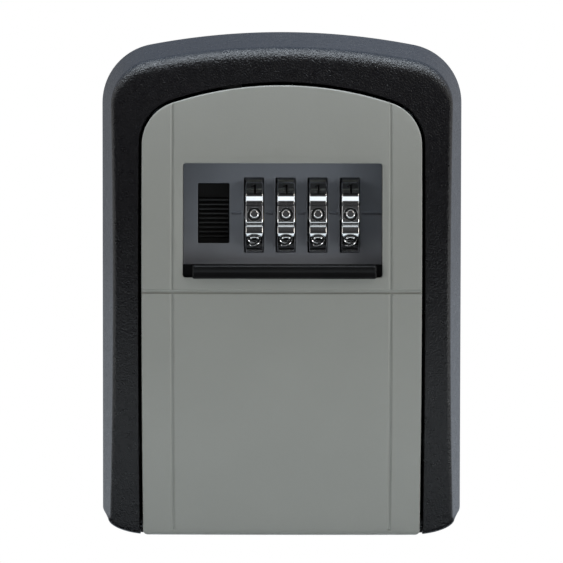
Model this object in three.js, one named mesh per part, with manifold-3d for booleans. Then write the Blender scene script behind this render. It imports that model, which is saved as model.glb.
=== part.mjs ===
// Wall-mounted key lock box with a four-dial combination lock.
// Units are millimetres. X is to the right, the front faces -Y, +Z is up.
// The origin is the centre of the flat back face, which lies on Y = 0.
import * as THREE from 'three';
import { mergeVertices } from 'three/addons/utils/BufferGeometryUtils.js';
import Module from 'manifold-3d';

const wasm = await Module();
wasm.setup();

// ---------------------------------------------------------------- dimensions
const DEPTH = 34;                 // door face at its crown, from the back face
const HALF_W = 42.5;              // half width of the casing at the back
const TOP_Z = 58.0;               // top of the casing at the back
const BOTTOM_Z = -60.0;           // bottom of the casing at the back
const CROWN_R = 166.5;            // vertical crown radius of the door face
const CROWN_Z = 0.87;             // height of the crown's apex
const CROWN_Y = CROWN_R - DEPTH;  // crown centre, behind the back face
const FRAME_STEP = 1.0;           // frame face lies this far below the door face
const SIDE_DRAFT = 0.1136;        // side taper, mm per mm of depth
const BOTTOM_DRAFT = 0.052;       // bottom taper
const WALL = 2.3;                 // casing side wall
const BACK_WALL = 2.5;
const FLANGE = 3.2;               // thickness of the front frame
const DOOR_HALF_W = 32.2, DOOR_TOP = 45.95, DOOR_BOTTOM = -58.9;
const DOOR_GAP = 0.7;             // gap round the door
const DOOR_T = 7.5;               // depth of the door's rim
const DOOR_SKIN = 2.0;
const PIN_Y = -20.5, PIN_Z = -55.6, PIN_R = 1.5;
const WIN = { x0: -22.65, x1: 23.02, z0: 2.05, z1: 28.13 };  // dial window in the door
const LOCK_Z = 16.68;             // height of the dial line on the door face
const TILT = Math.asin((LOCK_Z - CROWN_Z) / CROWN_R);
const LOCK_Y = CROWN_Y - CROWN_R * Math.cos(TILT);
const PANEL_Y = 6.9;              // panel face below the door face
const PANEL_T = 1.2;
const DIAL_R = 10.2, DIAL_W = 4.1, DIAL_AXIS = 12.9, DIAL_BORE = 2.8;
const DIAL_X = [-6.32, 0.99, 8.36, 15.83];
const THUMB_SLOT = [-6.5, 7.42];   // lower and upper edge, from the dial line
const SLOT_HALF_W = 2.31, SLOT_DX = -0.11, SLOT_HALF_H = 8.7;
const SHUTTER_D0 = 1.35, SHUTTER_D1 = 2.35;   // shutter plate, depth below the door face
const HOUSE = { x0: -24.6, x1: 24.6, y0: 8.4, y1: 24.4, z0: -13, z1: 13, t: 1.6 };

// ------------------------------------------------------------------- helpers
const EXTRUDE_X = new THREE.Matrix4().makeBasis(
  new THREE.Vector3(0, 1, 0), new THREE.Vector3(0, 0, 1), new THREE.Vector3(1, 0, 0));
const EXTRUDE_Y = new THREE.Matrix4().makeBasis(
  new THREE.Vector3(1, 0, 0), new THREE.Vector3(0, 0, 1), new THREE.Vector3(0, -1, 0));

function solid(geometry) {
  let g = geometry.clone();
  g.deleteAttribute('normal');
  g.deleteAttribute('uv');
  g = mergeVertices(g, 1e-4);
  return new wasm.Manifold(new wasm.Mesh({
    numProp: 3,
    vertProperties: new Float32Array(g.attributes.position.array),
    triVerts: new Uint32Array(g.index.array),
  }));
}
const shapeOf = (pts) => new THREE.Shape(pts.map(([a, b]) => new THREE.Vector2(a, b)));
// profile in (y, z), extruded from x0 to x1
const prismX = (pts, x0, x1) => solid(new THREE.ExtrudeGeometry(shapeOf(pts),
  { depth: x1 - x0, bevelEnabled: false }).applyMatrix4(EXTRUDE_X).translate(x0, 0, 0));
// profile in (x, z), extruded from depth d0 to depth d1 (depth is -Y); warp moves its vertices
function prismY(pts, d0, d1, steps = 1, warp = null) {
  const g = new THREE.ExtrudeGeometry(shapeOf(pts),
    { depth: d1 - d0, steps, bevelEnabled: false }).applyMatrix4(EXTRUDE_Y).translate(0, -d0, 0);
  if (warp) {
    const p = g.attributes.position;
    for (let i = 0; i < p.count; i++) {
      const v = warp(p.getX(i), -p.getY(i), p.getZ(i));
      p.setXYZ(i, v[0], -v[1], v[2]);
    }
  }
  return solid(g);
}
const box = (x0, x1, y0, y1, z0, z1) => solid(new THREE.BoxGeometry(x1 - x0, y1 - y0, z1 - z0)
  .translate((x0 + x1) / 2, (y0 + y1) / 2, (z0 + z1) / 2));
const rodX = (r, x0, x1, y, z, n = 24) => solid(new THREE.CylinderGeometry(r, r, x1 - x0, n)
  .rotateZ(-Math.PI / 2).translate((x0 + x1) / 2, y, z));
const rodY = (r, y0, y1, x, z, n = 20) => solid(new THREE.CylinderGeometry(r, r, y1 - y0, n)
  .translate(x, (y0 + y1) / 2, z));
const rodZ = (r, z0, z1, x, y, n = 20) => solid(new THREE.CylinderGeometry(r, r, z1 - z0, n)
  .rotateX(Math.PI / 2).translate(x, y, (z0 + z1) / 2));

const root = new THREE.Group();
const lock = new THREE.Group();   // tilted to lie along the crowned door at the dial line
lock.position.set(0, LOCK_Y, LOCK_Z);
lock.rotation.x = -TILT;
root.add(lock);

function put(parent, name, part, [color, roughness, metalness]) {
  const m = part.getMesh();
  const g = new THREE.BufferGeometry();
  g.setAttribute('position', new THREE.BufferAttribute(new Float32Array(m.vertProperties), 3));
  g.setIndex(new THREE.BufferAttribute(new Uint32Array(m.triVerts), 1));
  g.computeVertexNormals();
  const mesh = new THREE.Mesh(g, new THREE.MeshStandardMaterial({ color, roughness, metalness }));
  mesh.name = name;
  parent.add(mesh);
  return mesh;
}
const BLACK_COAT = [0x1c1c1e, 0.55, 0.0];
const GREY_COAT = [0x868a88, 0.45, 0.3];
const PANEL_COAT = [0x4b5259, 0.5, 0.1];
const BLACK_PLASTIC = [0x131313, 0.45, 0.0];
const CHROME = [0xd8d8dc, 0.12, 1.0];
const STEEL = [0x9a9c9e, 0.35, 1.0];
const ZINC = [0x8b8c8e, 0.5, 0.8];
const BRASS = [0xb59a55, 0.35, 1.0];

// depth of the door face at height z, less an offset measured along the radius
const faceDepth = (z, off = 0) => Math.sqrt((CROWN_R - off) ** 2 - (z - CROWN_Z) ** 2) - CROWN_Y;
// slab between two radial depths below the crowned face
function crownSlab(off0, off1, z0, z1, x0, x1, n = 36) {
  const pts = [];
  for (let i = 0; i <= n; i++) {
    const z = z0 + (z1 - z0) * i / n;
    pts.push([-faceDepth(z, off0), z]);
  }
  for (let i = n; i >= 0; i--) {
    const z = z0 + (z1 - z0) * i / n;
    pts.push([-(off1 === null ? 0 : faceDepth(z, off1)), z]);
  }
  return prismX(pts, x0, x1);
}
const mirrored = (half) => [...half.map(([x, z]) => [x, z]),
  ...half.slice().reverse().filter(([x]) => x > 1e-6).map(([x, z]) => [-x, z])];

// ------------------------------------------------------------------- casing
// half outline, x >= 0, from the apex down: a wide top arc, a tangent corner arc and a straight side
function archHalf(topZ, topR, halfW, cornerR, g, nTop, nCorner) {
  const zc = topZ - topR, cx = halfW - cornerR;
  const cz = zc + Math.sqrt((topR - cornerR) ** 2 - cx ** 2);
  const a0 = Math.atan2(cz - zc, cx);
  const pts = [];
  for (let i = 0; i <= nTop; i++) {
    const a = Math.PI / 2 + (a0 - Math.PI / 2) * i / nTop;
    pts.push([Math.abs((topR + g) * Math.cos(a)), zc + (topR + g) * Math.sin(a)]);
  }
  for (let i = 1; i <= nCorner; i++) {
    const a = a0 * (1 - i / nCorner);
    pts.push([cx + (cornerR + g) * Math.cos(a), cz + (cornerR + g) * Math.sin(a)]);
  }
  pts[0][0] = 0;
  return pts;
}
const CASING_HALF = archHalf(TOP_Z, 165, HALF_W, 14, 0, 5, 9);
CASING_HALF.push([HALF_W, 10], [HALF_W, -25]);
for (let i = 0; i <= 7; i++) {
  const a = -i * Math.PI / 14, rx = 12.5, rz = 6.5;
  CASING_HALF.push([HALF_W - rx + rx * Math.cos(a), BOTTOM_Z + rz + rz * Math.sin(a)]);
}
const casingOutline = mirrored(CASING_HALF);
// height of the casing's top, as it slopes and then rounds over towards the front
function topAt(d) {
  if (d <= 21.5) return TOP_Z - 0.147 * d;
  const e = Math.min(d, 24.2);
  return 49.7 + Math.sqrt(5.2 ** 2 - (e - 20.74) ** 2) - 1.465 * (d - e);
}
const taper = (dx, dzTop, dzBot) => (x, d, z) => [
  x * (HALF_W - dx - SIDE_DRAFT * d) / HALF_W, d,
  z > 0 ? z * (topAt(d) - dzTop) / TOP_Z : z * (-BOTTOM_Z - dzBot - BOTTOM_DRAFT * d) / -BOTTOM_Z];
const outer = prismY(casingOutline, 0, 35.2, 16, taper(0, 0, 0))
  .intersect(crownSlab(FRAME_STEP, null, -63, 63, -45, 45, 26));
const cavity = prismY(casingOutline, BACK_WALL, 36, 3, taper(WALL, 2.6, WALL))
  .intersect(crownSlab(FRAME_STEP + FLANGE, null, -63, 63, -45, 45, 22));
// closed door outline grown outwards by g, down to height zb
const doorOutline = (g, zb) => mirrored([
  ...archHalf(DOOR_TOP, 80.5, DOOR_HALF_W, 10, g, 6, 8), [DOOR_HALF_W + g, zb]]);
const mouth = prismY(doorOutline(DOOR_GAP, -70), 15.8, 40);
const lowerLegs = box(DOOR_HALF_W + DOOR_GAP, 45, -40, -14, -62, -50)
  .add(box(-45, -DOOR_HALF_W - DOOR_GAP, -40, -14, -62, -50));
let casing = outer.subtract(cavity.subtract(lowerLegs)).subtract(mouth)
  .subtract(rodX(PIN_R + 0.1, -36.8, 36.8, PIN_Y, PIN_Z));
// wall screw holes, countersunk from the front
for (const [x, z] of [[-27, 36], [27, 36], [-27, -40], [27, -40]])
  casing = casing.subtract(rodY(2.4, -5, 2, x, z, 20));
// strike pads at the top, behind the frame
const STRIKE = { x0: -21.9, x1: -9.4, d0: 10.6, d1: 12.2, z0: 44.95, z1: 50.6, zs: 48.7 };
casing = casing.add(box(-24.5, -7, -10.3, -1, 47.4, 56).intersect(outer));
for (const x of [-19.8, -11.8]) casing = casing.subtract(rodY(1.15, -11, -5, x, STRIKE.zs, 12));
put(root, 'casing', casing, BLACK_COAT);

// strike plate on its pad; the latch bolt stands behind its lower lip
let strike = box(STRIKE.x0, STRIKE.x1, -STRIKE.d1, -STRIKE.d0, STRIKE.z0, STRIKE.z1);
for (const x of [-19.8, -11.8]) strike = strike.subtract(rodY(1.25, -13, -8, x, STRIKE.zs, 12));
put(root, 'strike_plate', strike, STEEL);

// slotted screw along Y: head at yh towards -Y, shank running to +Y by len
function screwY(rHead, hHead, rShank, len, n = 12) {
  let s = solid(new THREE.LatheGeometry([[0, 0], [rHead * 0.72, 0], [rHead, hHead * 0.55], [rHead, hHead], [rShank, hHead],
    [rShank, hHead + len - rShank * 0.6], [rShank * 0.4, hHead + len], [0, hHead + len]]
    .map(([r, h]) => new THREE.Vector2(r, h)), n));
  const c = rHead * 0.5, w = rHead * 0.13;
  return s.subtract(box(-c, c, -1, hHead * 0.5, -w, w));
}
const strikeScrew = screwY(1.8, 1.2, 1.0, 5.4);
for (const [i, x] of [[1, -19.8], [2, -11.8]])
  put(root, `strike_screw_${i}`, strikeScrew, STEEL).position.set(x, -STRIKE.d1 - 1.5, STRIKE.zs);

put(root, 'hinge_pin', rodX(PIN_R, -36.4, 36.4, PIN_Y, PIN_Z), STEEL);

// --------------------------------------------------------------------- door
const doorPrism = prismY(doorOutline(0, DOOR_BOTTOM), 10, 40);
const doorInner = prismY(doorOutline(-2.0, -50.6), 10, 40);
let door = doorPrism.intersect(crownSlab(0, DOOR_T, -60, 60, -45, 45, 30));
// rounded lower front edge, and the hinge knuckle round the pin
door = door.subtract(prismX([[-23.2, -60], [-26, -60], [-26, -57.6], [-24.1, -57.6], [-23.35, -58.25], [-22.95, -58.7], [-22.3, -58.95], [-22.3, -60]], -40, 40));
door = door.subtract(box(-40, 40, -17.6, 0, -62, -45));
door = door.add(rodX(2.9, -DOOR_HALF_W, DOOR_HALF_W, PIN_Y, PIN_Z, 24));
door = door.add(prismX([[-24.0, -58.3], [-20.5, -58.5], [-18.2, -52.5], [-24.3, -49]], -DOOR_HALF_W, DOOR_HALF_W)
  .intersect(crownSlab(0.4, null, -60, 60, -45, 45, 30)));
door = door.subtract(doorInner.intersect(crownSlab(DOOR_SKIN, DOOR_T + 6, -60, 60, -45, 45, 24))
  .subtract(crownSlab(1.0, DOOR_T + 0.5, 0.0, 30.2, -26.6, 27.0, 12))
  .subtract(crownSlab(1.0, DOOR_T - 2.6, -29.0, 1.0, -28.6, 29.0, 12)));
// window, and the curved channel that the shutter runs in
door = door.subtract(prismX([[-40, WIN.z0], [-40, WIN.z1], [-20, WIN.z1], [-20, WIN.z0 - 0.6]], WIN.x0, WIN.x1));
door = door.subtract(crownSlab(1.2, 2.55, -25.2, 29.0, -24.9, 25.3, 24));
// back of the channel is open below the window; the guide plate closes it
door = door.subtract(crownSlab(2.0, 12, -24.6, 0.6, -23.6, 24.0, 12));
door = door.subtract(rodX(PIN_R + 0.12, -40, 40, PIN_Y, PIN_Z));
// channel in which the guide plate lies
door = door.subtract(crownSlab(3.4, 12, -26.8, 2.2, -27.2, 27.6, 12));
const GUIDE_SCREWS = [[-25.4, -3], [25.8, -3], [-25.4, -21], [25.8, -21]];
for (const [x, z] of GUIDE_SCREWS)
  door = door.subtract(rodY(0.95, -faceDepth(z) + 1.7, -faceDepth(z) + 6, x, z, 12));
// score lines in the door face
for (const s of [-1, 1]) door = door.subtract(
  crownSlab(-1, 0.35, -57.6, 41.6, s * 25.1 - 0.35, s * 25.1 + 0.35, 24));
door = door.subtract(crownSlab(-1, 0.35, -1.9, -1.24, -40, 40, 2));
// screw bosses for the lock housing
const HOUSE_SCREWS = [[-27.2, 12.2], [27.2, 12.2], [-27.2, -10.2], [27.2, -10.2]];
const L2W = new THREE.Matrix4().makeRotationX(-TILT).setPosition(0, LOCK_Y, LOCK_Z);
const toWorld = (m) => m.transform([...L2W.elements]);
for (const [x, z] of HOUSE_SCREWS) {
  door = door.add(toWorld(rodY(2.2, 1.4, 8.1, x, z, 16)));
  door = door.subtract(toWorld(rodY(0.95, 2.6, 12, x, z, 12)));
}
// flat seat for the lock panel behind the window
door = door.subtract(toWorld(box(-24.4, 24.7, PANEL_Y - 0.3, 14, -13.8, 12.8)));
put(root, 'door_shell', door, GREY_COAT);

// plate that keeps the shutter in its channel
let guide = crownSlab(3.7, 4.7, -26.4, 0.4, -26.9, 27.3, 12);
for (const [x, z] of GUIDE_SCREWS) guide = guide.subtract(rodY(1.0, -40, -20, x, z, 12));
put(root, 'shutter_guide', guide, STEEL);
const guideScrew = screwY(1.5, 0.9, 0.8, 2.6, 10).rotate([0, 0, 180]);
GUIDE_SCREWS.forEach(([x, z], i) =>
  put(root, `guide_screw_${i + 1}`, guideScrew, STEEL).position.set(x, -faceDepth(z) + 5.95, z));

// sliding weather shutter, curved like the door, with a grip bar along its top
let shutter = crownSlab(SHUTTER_D0, SHUTTER_D1, -22.6, 5.1, -24.5, 24.9, 16);
shutter = shutter.add(crownSlab(-1.3, SHUTTER_D1, 2.3, 4.8, -20.55, 21.8, 3))
  .add(crownSlab(-1.3, -0.25, 1.8, 2.4, -20.55, 21.8, 2));
put(root, 'shutter', shutter, BLACK_PLASTIC);

// --------------------------------------------------------------- lock (tilted)
const slotBox = (x, hw, z0, z1) => box(x - hw, x + hw, 0, 12, z0, z1);
let panel = box(-24.0, 24.3, PANEL_Y, PANEL_Y + PANEL_T, -13.4, 12.4);
const dialSweep = (x) => rodX(DIAL_R + 0.3, x + SLOT_DX - SLOT_HALF_W, x + SLOT_DX + SLOT_HALF_W, DIAL_AXIS, 0, 48);
for (const x of DIAL_X) panel = panel.subtract(slotBox(x + SLOT_DX, SLOT_HALF_W, -SLOT_HALF_H, SLOT_HALF_H)).subtract(dialSweep(x));
panel = panel.subtract(box(-19.4, -12.1, 0, 12, THUMB_SLOT[0], THUMB_SLOT[1]));
for (const [a, b] of [[-12.1, DIAL_X[0] + SLOT_DX - SLOT_HALF_W], [DIAL_X[3] + SLOT_DX + SLOT_HALF_W, 24.0]])
  panel = panel.subtract(box(a, b, 0, PANEL_Y + 0.3, 0.35, 0.7));
put(lock, 'lock_panel', panel, PANEL_COAT);

const H = HOUSE;
let house = box(H.x0, H.x1, H.y0, H.y1, H.z0, H.z1)
  .subtract(box(H.x0 + H.t, H.x1 - H.t, H.y0 + 0.8, H.y1 + 1, H.z0 + 1.4, H.z1 - 1.4));
for (const x of DIAL_X) house = house.subtract(slotBox(x + SLOT_DX, SLOT_HALF_W, -SLOT_HALF_H - 0.1, SLOT_HALF_H + 0.1)).subtract(dialSweep(x));
house = house.subtract(box(-20.4, -11.1, 0, 12, -11.6, 11.8));      // thumb slide opening
house = house.subtract(box(-19.6, -11.9, 20.4, 30, 10, 20));       // latch bolt way out, top
for (const [x, z] of HOUSE_SCREWS)
  house = house.add(box(x > 0 ? 24 : -29.4, x > 0 ? 29.4 : -24, H.y0, H.y0 + 1.6, z - 2.4, z + 2.4)
    .subtract(rodY(1.15, 0, 30, x, z, 16)));
house = house.add(box(-10.6, -9.5, H.y0 + 0.5, 22.4, H.z0 + 1, H.z1 - 1));   // inner shaft wall
house = house.subtract(rodX(1.6, -12, 30, DIAL_AXIS, 0));
const COVER_SCREWS = [[-22.4, 10.4], [22.4, 10.4], [-22.4, -10.4], [22.4, -10.4]];
for (const [x, z] of COVER_SCREWS)
  house = house.add(box(x - 2, x + 2, H.y0 + 0.5, H.y1, z - 1.9, z + 1.9))
    .subtract(rodY(0.95, H.y1 - 6, H.y1 + 1, x, z, 12));
put(lock, 'lock_housing', house, ZINC);

let cover = box(H.x0, H.x1, H.y1 + 0.3, H.y1 + 1.4, H.z0, H.z1);
for (const [x, z] of COVER_SCREWS) cover = cover.subtract(rodY(1.15, 0, 40, x, z, 16));
cover = cover.subtract(box(2.6, 9.4, 20, 40, -8.2, -5.4));         // reset lever slot
put(lock, 'lock_cover', cover, STEEL);
const coverScrew = screwY(1.9, 1.1, 0.8, 5.2, 12).rotate([0, 0, 180]);
COVER_SCREWS.forEach(([x, z], i) =>
  put(lock, `cover_screw_${i + 1}`, coverScrew, STEEL).position.set(x, H.y1 + 1.7 + 1.1, z));
const houseScrew = screwY(2.0, 1.2, 0.8, 6.6, 12).rotate([0, 0, 180]);
HOUSE_SCREWS.forEach(([x, z], i) =>
  put(lock, `housing_screw_${i + 1}`, houseScrew, STEEL).position.set(x, H.y0 + 1.9 + 1.2, z));

// shaft, retaining clips, sleeves and dials
put(lock, 'dial_shaft', rodX(1.5, -11.9, 26.6, DIAL_AXIS, 0), STEEL);
for (const [i, a] of [[1, -11.3], [2, 25.0]]) put(lock, `shaft_clip_${i}`,
  rodX(2.7, a, a + 0.6, DIAL_AXIS, 0, 20).subtract(rodX(1.6, a - 1, a + 2, DIAL_AXIS, 0))
    .subtract(box(a - 1, a + 2, DIAL_AXIS, DIAL_AXIS + 5, -0.9, 0.9)), STEEL);
const dialProfile = [];
for (let i = 0; i < 10; i++) {
  const c = i * 36 - 90;
  for (const [a, r] of [[-12.2, 9.55], [-11.2, DIAL_R - 0.12], [-10.4, DIAL_R], [0, DIAL_R + 0.0], [10.4, DIAL_R], [11.2, DIAL_R - 0.12], [12.2, 9.55]]) {
    const t = (c + a) * Math.PI / 180;
    dialProfile.push([DIAL_AXIS + r * Math.sin(t), r * Math.cos(t)]);
  }
}
DIAL_X.forEach((x, i) => {
  put(lock, `dial_${i + 1}`, prismX(dialProfile, x - DIAL_W / 2, x + DIAL_W / 2)
    .subtract(rodX(DIAL_BORE, -40, 40, DIAL_AXIS, 0)), CHROME);
  // code sleeve: fits the dial's bore, and has a cam flange with a notch beside the dial
  let s = rodX(2.65, x - DIAL_W / 2, x + DIAL_W / 2 + 2.2, DIAL_AXIS, 0)
    .add(rodX(3.55, x + DIAL_W / 2 + 0.3, x + DIAL_W / 2 + 1.2, DIAL_AXIS, 0))
    .subtract(rodX(1.65, -40, 40, DIAL_AXIS, 0))
    .subtract(box(x + DIAL_W / 2 + 0.2, x + DIAL_W / 2 + 1.3, DIAL_AXIS + 2.8, DIAL_AXIS + 8, -1.5, 1.5));
  put(lock, `dial_sleeve_${i + 1}`, s, BRASS);
});
put(lock, 'detent_spring', box(-9.1, 18.8, 13.0, 22.4, 10.75, 11.15)
  .subtract(box(-3.2, -2.2, 12, 20, 10, 12)).subtract(box(4.1, 5.1, 12, 20, 10, 12)).subtract(box(11.5, 12.5, 12, 20, 10, 12)), STEEL);

// latch: thumb slide, bolt and locking comb move down together
let thumb = box(-20.1, -11.5, 8.4, 10.2, -7.4, 11.4);
for (let i = 0; i < 10; i++) thumb = thumb.subtract(box(-19.2, -12.3, 8.0, 8.95, -5.55 + i * 1.055, -5.05 + i * 1.055));
thumb = thumb.add(box(-18.6, -13.0, 10.1, 20.2, -1.5, 3.5));
put(lock, 'thumb_slide', thumb, BLACK_PLASTIC);
let bolt = box(-18.9, -12.7, 20.5, 22.3, -6.5, 29.2)
  .subtract(prismX([[20.0, 29.5], [20.0, 27.9], [21.6, 29.5]], -20, -10));
for (const z of [-2.6, 5.6]) bolt = bolt.subtract(rodY(1.1, 15, 30, -15.8, z, 16));
put(lock, 'latch_bolt', bolt, STEEL);
let comb = box(-18.4, 19.0, 22.6, 23.2, 4.9, 8.4).intersect(box(-30, -11.5, 0, 40, -20, 20))
  .add(box(-18.4, 19.0, 23.4, 24.0, -3.4, 3.4)).add(box(-18.4, -12.9, 22.6, 24.0, -4.6, 7.6));
for (const x of DIAL_X) comb = comb.add(box(x + DIAL_W / 2 + 0.45, x + DIAL_W / 2 + 1.05, 18.6, 23.6, -1.2, 1.2));
for (const z of [-2.6, 5.6]) comb = comb.subtract(rodY(1.1, 15, 30, -15.8, z, 16));
put(lock, 'locking_comb', comb, STEEL);
[[-2.6], [5.6]].forEach(([z], i) => put(lock, `latch_rivet_${i + 1}`,
  rodY(1.0, 20.45, 24.15, -15.8, z, 16), BRASS));
class Helix extends THREE.Curve {
  constructor(r, h, n) { super(); this.r = r; this.h = h; this.n = n; }
  getPoint(t, out = new THREE.Vector3()) {
    const a = t * this.n * 2 * Math.PI;
    return out.set(this.r * Math.cos(a), this.r * Math.sin(a), this.h * t);
  }
}
const ringShape = shapeOf([0, 1, 2, 3, 4, 5].map((i) => [0.3 * Math.cos(i * Math.PI / 3), 0.3 * Math.sin(i * Math.PI / 3)]));
put(lock, 'latch_spring', solid(new THREE.ExtrudeGeometry(ringShape,
  { steps: 60, bevelEnabled: false, extrudePath: new Helix(1.5, 8.4, 5) })), STEEL)
  .position.set(-15.8, 17.6, -10.9);

// code reset lever on the inside of the door
put(lock, 'reset_lever', box(3.0, 5.6, 24.45, 27.0, -8.0, -5.6)
  .add(box(1.4, 7.4, 26.1, 27.3, -9.4, -4.2)), BLACK_PLASTIC);

export default root;
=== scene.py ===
# Key lock box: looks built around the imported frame.
import bpy, bmesh, math
import numpy as np
from mathutils import Matrix, Vector
from mathutils.geometry import delaunay_2d_cdt


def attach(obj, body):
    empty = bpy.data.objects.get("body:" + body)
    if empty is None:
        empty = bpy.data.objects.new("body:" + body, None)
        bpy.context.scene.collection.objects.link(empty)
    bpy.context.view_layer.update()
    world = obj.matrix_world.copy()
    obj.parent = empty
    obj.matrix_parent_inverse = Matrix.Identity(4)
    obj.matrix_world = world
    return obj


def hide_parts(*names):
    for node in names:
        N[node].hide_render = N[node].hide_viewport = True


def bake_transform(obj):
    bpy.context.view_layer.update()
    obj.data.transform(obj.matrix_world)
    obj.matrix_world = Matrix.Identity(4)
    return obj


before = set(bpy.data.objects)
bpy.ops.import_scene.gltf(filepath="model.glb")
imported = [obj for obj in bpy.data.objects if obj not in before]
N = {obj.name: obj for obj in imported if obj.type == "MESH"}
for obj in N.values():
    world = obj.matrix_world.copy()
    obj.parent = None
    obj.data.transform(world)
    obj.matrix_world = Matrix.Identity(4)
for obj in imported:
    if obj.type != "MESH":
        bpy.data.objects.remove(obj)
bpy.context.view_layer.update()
MM = 0.001
COL = bpy.context.scene.collection

# ------------------------------------------------------------ dimensions (mm)
R, CZ, DEPTH = 166.5, 0.87, 34.0
CY = R - DEPTH
LOCK_Z = 16.68
TILT = math.asin((LOCK_Z - CZ) / R)
LOCK_Y = CY - R * math.cos(TILT)
PIN_Y, PIN_Z = -20.5, -55.6
WIN = (-22.65, 23.02, 2.05, 28.13)
HOUSE_SCREWS = ((-27.2, 12.2), (27.2, 12.2), (-27.2, -10.2), (27.2, -10.2))
COVER_SCREWS = ((-22.4, 10.4), (22.4, 10.4), (-22.4, -10.4), (22.4, -10.4))
GUIDE_SCREWS = ((-25.4, -3), (25.8, -3), (-25.4, -21), (25.8, -21))
DIAL_X = (-6.32, 0.99, 8.36, 15.83)
DIAL_AXIS, DIAL_W, DIAL_R = 12.9, 4.1, 10.2
L2W = Matrix.Translation((0, LOCK_Y, LOCK_Z)) @ Matrix.Rotation(-TILT, 4, 'X')   # lock group, mm


def depth(z, off=0.0):
    return np.sqrt((R - off) ** 2 - (np.asarray(z, float) - CZ) ** 2) - CY


def door_depth(x, z, off=0.0):
    roll = np.clip((-56.4 - np.asarray(z, float)) / 2.3, 0, 1.2)
    return depth(z, off) - 0.00042 * np.asarray(x, float) ** 2 - 0.34 * roll ** 2


def frame_depth(x, z, off=0.0):
    return depth(z, off) - 0.45 - 0.00040 * np.asarray(x, float) ** 2


# ------------------------------------------------------------------ mesh tools
def new_obj(name, verts, faces, mats=(), idx=None):
    me = bpy.data.meshes.new(name)
    me.from_pydata([tuple(float(c) * MM for c in v) for v in verts], [], [tuple(int(i) for i in f) for f in faces])
    me.update()
    o = bpy.data.objects.new(name, me)
    COL.objects.link(o)
    for m in mats:
        me.materials.append(m)
    if idx is not None:
        me.polygons.foreach_set("material_index", idx)
    return o


def clean(o, dist=1e-6, recalc=True):
    bm = bmesh.new()
    bm.from_mesh(o.data)
    bmesh.ops.remove_doubles(bm, verts=bm.verts, dist=dist)
    bmesh.ops.dissolve_degenerate(bm, dist=1e-7, edges=bm.edges)
    if recalc:
        bmesh.ops.recalc_face_normals(bm, faces=bm.faces)
    bm.to_mesh(o.data)
    bm.free()
    o.data.update()
    return o


class Build:
    """Collects lofts and caps into one closed mesh, in millimetres."""

    def __init__(self):
        self.v, self.f = [], []

    def loft(self, loops, closed=True):
        n = len(loops[0])
        base = len(self.v)
        for lp in loops:
            self.v.extend(map(tuple, lp))
        m = n if closed else n - 1
        for k in range(len(loops) - 1):
            for i in range(m):
                j = (i + 1) % n
                a, b = base + k * n + i, base + k * n + j
                c, d = base + (k + 1) * n + j, base + (k + 1) * n + i
                self.f.append((a, b, c, d))

    def cap(self, outer, fn, step=2.0, holes=(), lines=(), line_step=2.0):
        """Triangulated cap inside the (x, z) loop outer, less the holes, lifted to y = -fn(x, z)."""
        pts, edges = [], []

        def ring(lp):
            b = len(pts)
            pts.extend((float(p[0]), float(p[1])) for p in lp)
            edges.extend((b + i, b + (i + 1) % len(lp)) for i in range(len(lp)))
        ring(outer)
        for h in holes:
            ring(h)
        for a, b in lines:
            k = len(pts)
            m = max(1, math.ceil(math.dist(a, b) / line_step))
            pts.extend((a[0] + (b[0] - a[0]) * t / m, a[1] + (b[1] - a[1]) * t / m) for t in range(m + 1))
            edges.extend((k + t, k + t + 1) for t in range(m))
        o = np.asarray(outer)[:, :2]
        x0, z0 = o.min(0) + step * 0.5
        x1, z1 = o.max(0)
        gx, gz = np.meshgrid(np.arange(x0, x1, step), np.arange(z0, z1, step))
        g = np.stack([gx.ravel(), gz.ravel()], 1)
        keep = inside(g, o)
        for h in holes:
            keep &= ~inside(g, np.asarray(h)[:, :2])
        for lp in [outer, *holes]:
            keep &= dist_to_loop(g, np.asarray(lp)[:, :2]) > step * 0.35
        for a, b in lines:
            keep &= dist_to_seg(g, np.array(a), np.array(b)) > step * 0.3
        pts.extend(map(tuple, g[keep]))
        v2, _, f2, _, _, _ = delaunay_2d_cdt([Vector(p) for p in pts], edges, [], 1, 1e-6)
        va = np.array([[p.x, p.y] for p in v2])
        fa = np.array([f for f in f2 if len(f) == 3])
        c = va[fa].mean(1)
        ok = inside(c, o)
        for h in holes:
            ok &= ~inside(c, np.asarray(h)[:, :2])
        fa = fa[ok]
        base = len(self.v)
        y = -fn(va[:, 0], va[:, 1])
        self.v.extend(zip(va[:, 0], y, va[:, 1]))
        self.f.extend(tuple(base + f) for f in fa)

    def make(self, name, mats=()):
        o = new_obj(name, self.v, self.f, mats)
        return clean(o, 2e-7)


def inside(p, loop):
    x, y = p[:, 0], p[:, 1]
    r = np.zeros(len(p), bool)
    a, b = loop, np.roll(loop, -1, 0)
    for (x0, y0), (x1, y1) in zip(a, b):
        c = (y0 > y) != (y1 > y)
        if y1 != y0:
            r ^= c & (x < (x1 - x0) * (y - y0) / (y1 - y0) + x0)
    return r


def dist_to_seg(p, a, b):
    d = b - a
    t = np.clip(((p - a) @ d) / max(d @ d, 1e-12), 0, 1)
    return np.linalg.norm(p - (a + t[:, None] * d), axis=1)


def dist_to_loop(p, loop):
    r = np.full(len(p), 1e9)
    for a, b in zip(loop, np.roll(loop, -1, 0)):
        r = np.minimum(r, dist_to_seg(p, a, b))
    return r


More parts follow.
